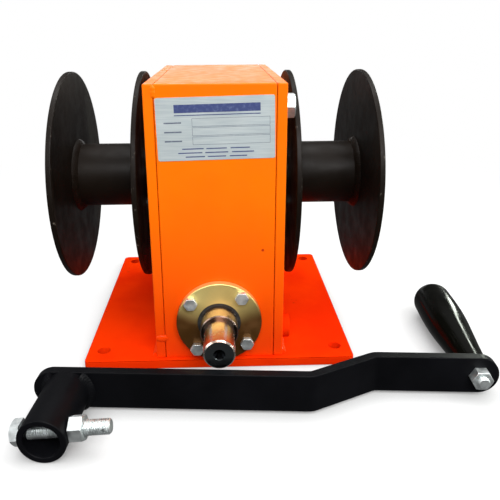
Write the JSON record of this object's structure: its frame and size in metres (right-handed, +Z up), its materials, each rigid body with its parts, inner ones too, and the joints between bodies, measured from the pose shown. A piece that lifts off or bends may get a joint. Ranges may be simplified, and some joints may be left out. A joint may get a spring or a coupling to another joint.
{
  "type": "wire rope puller",
  "caption": "Hand-cranked wire rope puller: a worm gear in a plate casing turns a through shaft with a flanged rope drum on each side; bolts down by its base plate.",
  "frame": {"origin": "underside of the base plate, directly below the middle of the drum shaft", "axes": "+X along the drum shaft to the right, -Y out of the front with the input shaft, +Z up"},
  "size_m": [0.4857, 0.4378, 0.3112],
  "materials": {
    "casing_paint": "semi-gloss enamel, brush and spray marks",
    "base_paint": "semi-gloss enamel",
    "drum_paint": "satin black enamel",
    "crank_paint": "satin black enamel",
    "brass_flange": "turned and polished",
    "bronze": "machined bronze",
    "shaft_steel": "turned",
    "gear_steel": "machined, oiled",
    "zinc_fasteners": "zinc plated",
    "dull_fasteners": "zinc plated, dull",
    "cast_hub": "as cast, machined bores",
    "gasket_sheet": "gasket sheet",
    "seal_rubber": "nitrile",
    "grip_plastic": "smooth moulded",
    "label_foil": "printed foil",
    "copper_washer": "soft copper"
  },
  "bodies": {
    "casing": {"base_plate": "base_paint", "left_side_plate": "casing_paint", "right_side_plate": "casing_paint", "front_plate": "casing_paint", "top_plate": "casing_paint", "rear_frame": "casing_paint", "cover_gasket": "gasket_sheet", "rear_cover": "casing_paint", "rear_cover_bolts": "zinc_fasteners", "casing_welds": "base_paint", "front_bearing_flange": "brass_flange", "front_flange_bolts": "zinc_fasteners", "front_shaft_seal": "seal_rubber", "thrust_washers": "bronze", "rear_bearing_flange": "brass_flange", "rear_flange_bolts": "zinc_fasteners", "left_bearing_housing": "cast_hub", "right_bearing_housing": "cast_hub", "housing_bolts": "zinc_fasteners", "drum_bushes": "bronze", "oil_filler_plug": "zinc_fasteners", "filler_washer": "copper_washer", "drain_plug": "base_paint", "rating_plate": "label_foil"},
    "worm_drive": {"worm_shaft": "shaft_steel", "worm": "gear_steel", "worm_key": "gear_steel", "worm_spacer": "gear_steel"},
    "drum_drive": {"drum_shaft": "gear_steel", "worm_wheel_rim": "bronze", "worm_wheel_hub": "cast_hub", "wheel_bolts": "dull_fasteners", "wheel_key": "gear_steel", "wheel_spacers": "gear_steel", "drum_spacers": "gear_steel", "drum_keys": "gear_steel", "drum_end_washers": "dull_fasteners", "drum_end_bolts": "dull_fasteners", "rope_clamps": "dull_fasteners", "rope_clamp_bolts": "dull_fasteners", "left_drum_barrel": "drum_paint", "left_inner_flange": "drum_paint", "left_outer_flange": "drum_paint", "left_drum_hubs": "drum_paint", "left_drum_welds": "drum_paint", "right_drum_barrel": "drum_paint", "right_inner_flange": "drum_paint", "right_outer_flange": "drum_paint", "right_drum_hubs": "drum_paint", "right_drum_welds": "drum_paint"},
    "crank": {"crank_arm": "crank_paint", "crank_socket": "crank_paint", "crank_weld": "crank_paint", "crank_bolt": "zinc_fasteners", "crank_nut": "zinc_fasteners", "grip_spindle": "zinc_fasteners", "spindle_nut": "zinc_fasteners", "spindle_washer": "zinc_fasteners"},
    "grip": {"crank_grip": "grip_plastic"}
  },
  "joints": [
    {"name": "drum_spin", "type": "hinge", "parent": "casing", "child": "drum_drive", "pos_m": [0, 0, 0.187], "axis": [1, 0, 0], "continuous": true},
    {"name": "worm_spin", "type": "hinge", "parent": "casing", "child": "worm_drive", "pos_m": [0, 0, 0.0565], "axis": [0, 1, 0], "continuous": true},
    {"name": "crank_lift", "type": "slide", "parent": "casing", "child": "crank", "axis": [0, 0, 1], "range_m": [0, 0.4]},
    {"name": "grip_spin", "type": "hinge", "parent": "crank", "child": "grip", "pos_m": [0.26341, -0.18692, 0.023], "axis": [0.0698, 0.9976, 0], "continuous": true}
  ],
  "couplings": [
    {"joint": "worm_spin", "follows": "drum_spin", "ratio": -40}
  ]
}
